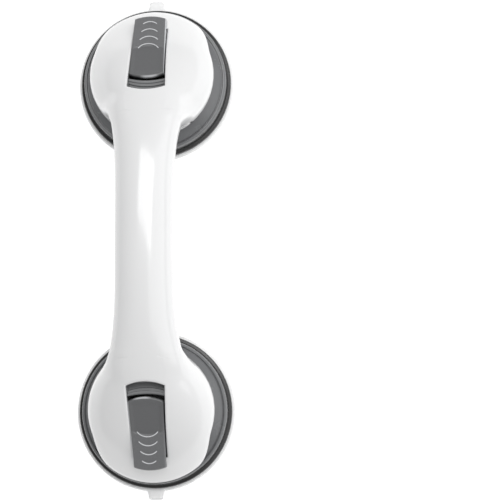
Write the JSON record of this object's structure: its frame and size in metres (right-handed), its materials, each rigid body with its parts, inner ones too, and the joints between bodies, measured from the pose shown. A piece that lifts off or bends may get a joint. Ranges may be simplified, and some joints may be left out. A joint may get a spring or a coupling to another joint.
{
  "type": "suction grab bar",
  "caption": "Portable wall grab bar: hollow arched handle on round suction cups, each locked by a flip lever with a cam.",
  "frame": {"origin": "centre of the bar on the mounting surface, midway between the two suction cups", "axes": "+Z away from the mounting surface, +Y along the bar towards the rear cup, +X across the bar"},
  "size_m": [0.0936, 0.3, 0.0765],
  "materials": {
    "white_shell": "glossy white moulded ABS",
    "grey_housing": "satin mid-grey moulded ABS",
    "grey_lever": "fine-textured dark grey moulded ABS",
    "soft_cup": "translucent frosted grey soft elastomer",
    "stem_plastic": "natural acetal",
    "steel": "plain zinc-plated steel"
  },
  "bodies": {
    "handle": {"handle_top_shell": "white_shell", "handle_bottom_shell": "white_shell", "shell_screws": "steel", "front_cup_housing": "grey_housing", "front_suction_cup": "soft_cup", "front_stem_spring": "steel", "front_cam_plate": "steel", "front_lever_well": "grey_housing", "front_housing_screws": "steel", "rear_cup_housing": "grey_housing", "rear_suction_cup": "soft_cup", "rear_stem_spring": "steel", "rear_cam_plate": "steel", "rear_lever_well": "grey_housing", "rear_housing_screws": "steel"},
    "front_stem": {"front_cup_stem": "stem_plastic", "front_lever_pin": "steel"},
    "front_lever": {"front_lever": "grey_lever"},
    "rear_stem": {"rear_cup_stem": "stem_plastic", "rear_lever_pin": "steel"},
    "rear_lever": {"rear_lever": "grey_lever"}
  },
  "joints": [
    {"name": "front_stem_slide", "type": "slide", "parent": "handle", "child": "front_stem", "axis": [0, 0, -1], "range_m": [0, 0.005], "deforming": ["front_suction_cup", "front_stem_spring"]},
    {"name": "front_lever_hinge", "type": "hinge", "parent": "front_stem", "child": "front_lever", "pos_m": [0, -0.098, 0.041], "axis": [-1, 0, 0], "range_deg": [0, 90]},
    {"name": "rear_stem_slide", "type": "slide", "parent": "handle", "child": "rear_stem", "axis": [0, 0, -1], "range_m": [0, 0.005], "deforming": ["rear_suction_cup", "rear_stem_spring"]},
    {"name": "rear_lever_hinge", "type": "hinge", "parent": "rear_stem", "child": "rear_lever", "pos_m": [0, 0.098, 0.041], "axis": [1, 0, 0], "range_deg": [0, 90]}
  ],
  "couplings": [
    {"joint": "front_stem_slide", "follows": "front_lever_hinge", "m_per_rad": 0.0031831},
    {"joint": "rear_stem_slide", "follows": "rear_lever_hinge", "m_per_rad": 0.0031831}
  ]
}
